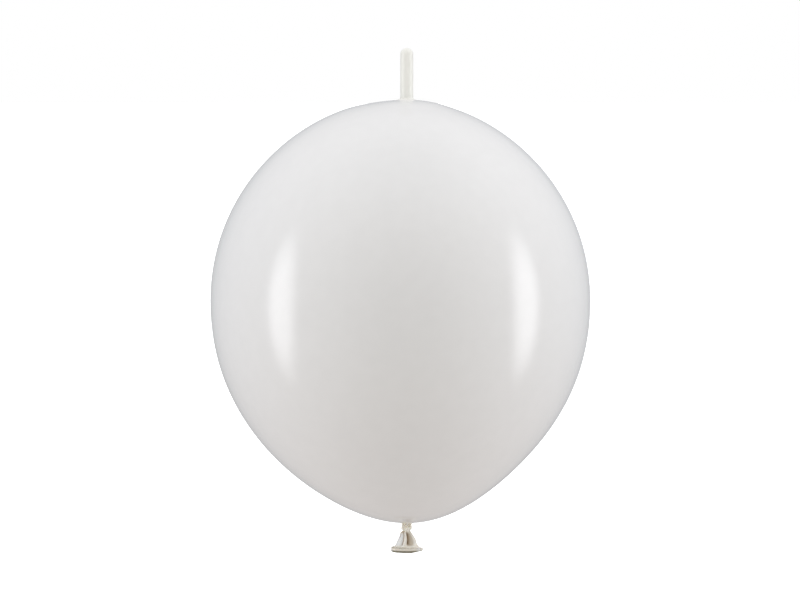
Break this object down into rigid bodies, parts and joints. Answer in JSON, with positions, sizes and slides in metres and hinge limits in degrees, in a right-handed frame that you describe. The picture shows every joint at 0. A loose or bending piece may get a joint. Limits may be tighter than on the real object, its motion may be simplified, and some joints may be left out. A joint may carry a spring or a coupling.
{
  "type": "linking latex balloon",
  "caption": "Inflated pear-shaped latex balloon with a closed tail on its crown and a knotted, flared neck, for garlands and decorations.",
  "frame": {"origin": "in the middle of the throat, between the bulb and the knot, where a ribbon or the next balloon's tail is tied", "axes": "+Z along the axis from the knot to the tail, +X to the right seen from the front, -Y towards the front"},
  "size_m": [0.3, 0.3, 0.3983],
  "materials": {
    "bulb_film": "stretched pearl-white latex, glossy, slightly translucent",
    "tail_latex": "unstretched ivory latex, satin, translucent",
    "neck_latex": "gathered cream latex, satin, translucent where single",
    "lip_latex": "rolled cream latex, satin"
  },
  "bodies": {
    "balloon": {"bulb_envelope": "bulb_film", "crown_shoulder": "tail_latex", "throat": "neck_latex"},
    "tail_lower": {"tail_root": "tail_latex", "tail_tube": "tail_latex"},
    "tail_upper": {"tail_bend": "tail_latex", "tail_tip": "tail_latex"},
    "knot": {"knot_core": "neck_latex", "knot_wrap": "neck_latex"},
    "skirt": {"skirt_gather": "neck_latex", "neck_skirt": "neck_latex", "rolled_lip": "lip_latex"}
  },
  "joints": [
    {"name": "tail_lean", "type": "hinge", "parent": "balloon", "child": "tail_lower", "pos_m": [0, 0, 0.341], "axis": [0, 1, 0], "range_deg": [-75, 75], "stiffness_Nm_per_rad": 0.01, "deforming": ["tail_root"]},
    {"name": "tail_curl", "type": "hinge", "parent": "tail_lower", "child": "tail_upper", "pos_m": [0, 0, 0.358], "axis": [1, 0, 0], "range_deg": [-60, 60], "stiffness_Nm_per_rad": 0.004, "deforming": ["tail_bend"]},
    {"name": "neck_swing", "type": "hinge", "parent": "balloon", "child": "knot", "pos_m": [0, 0, -0.0005], "axis": [0, 1, 0], "range_deg": [-30, 30], "stiffness_Nm_per_rad": 0.004, "deforming": ["throat"]},
    {"name": "skirt_flop", "type": "hinge", "parent": "knot", "child": "skirt", "pos_m": [0, 0, -0.0052], "axis": [1, 0, 0], "range_deg": [-35, 35], "stiffness_Nm_per_rad": 0.002, "deforming": ["skirt_gather"]}
  ]
}
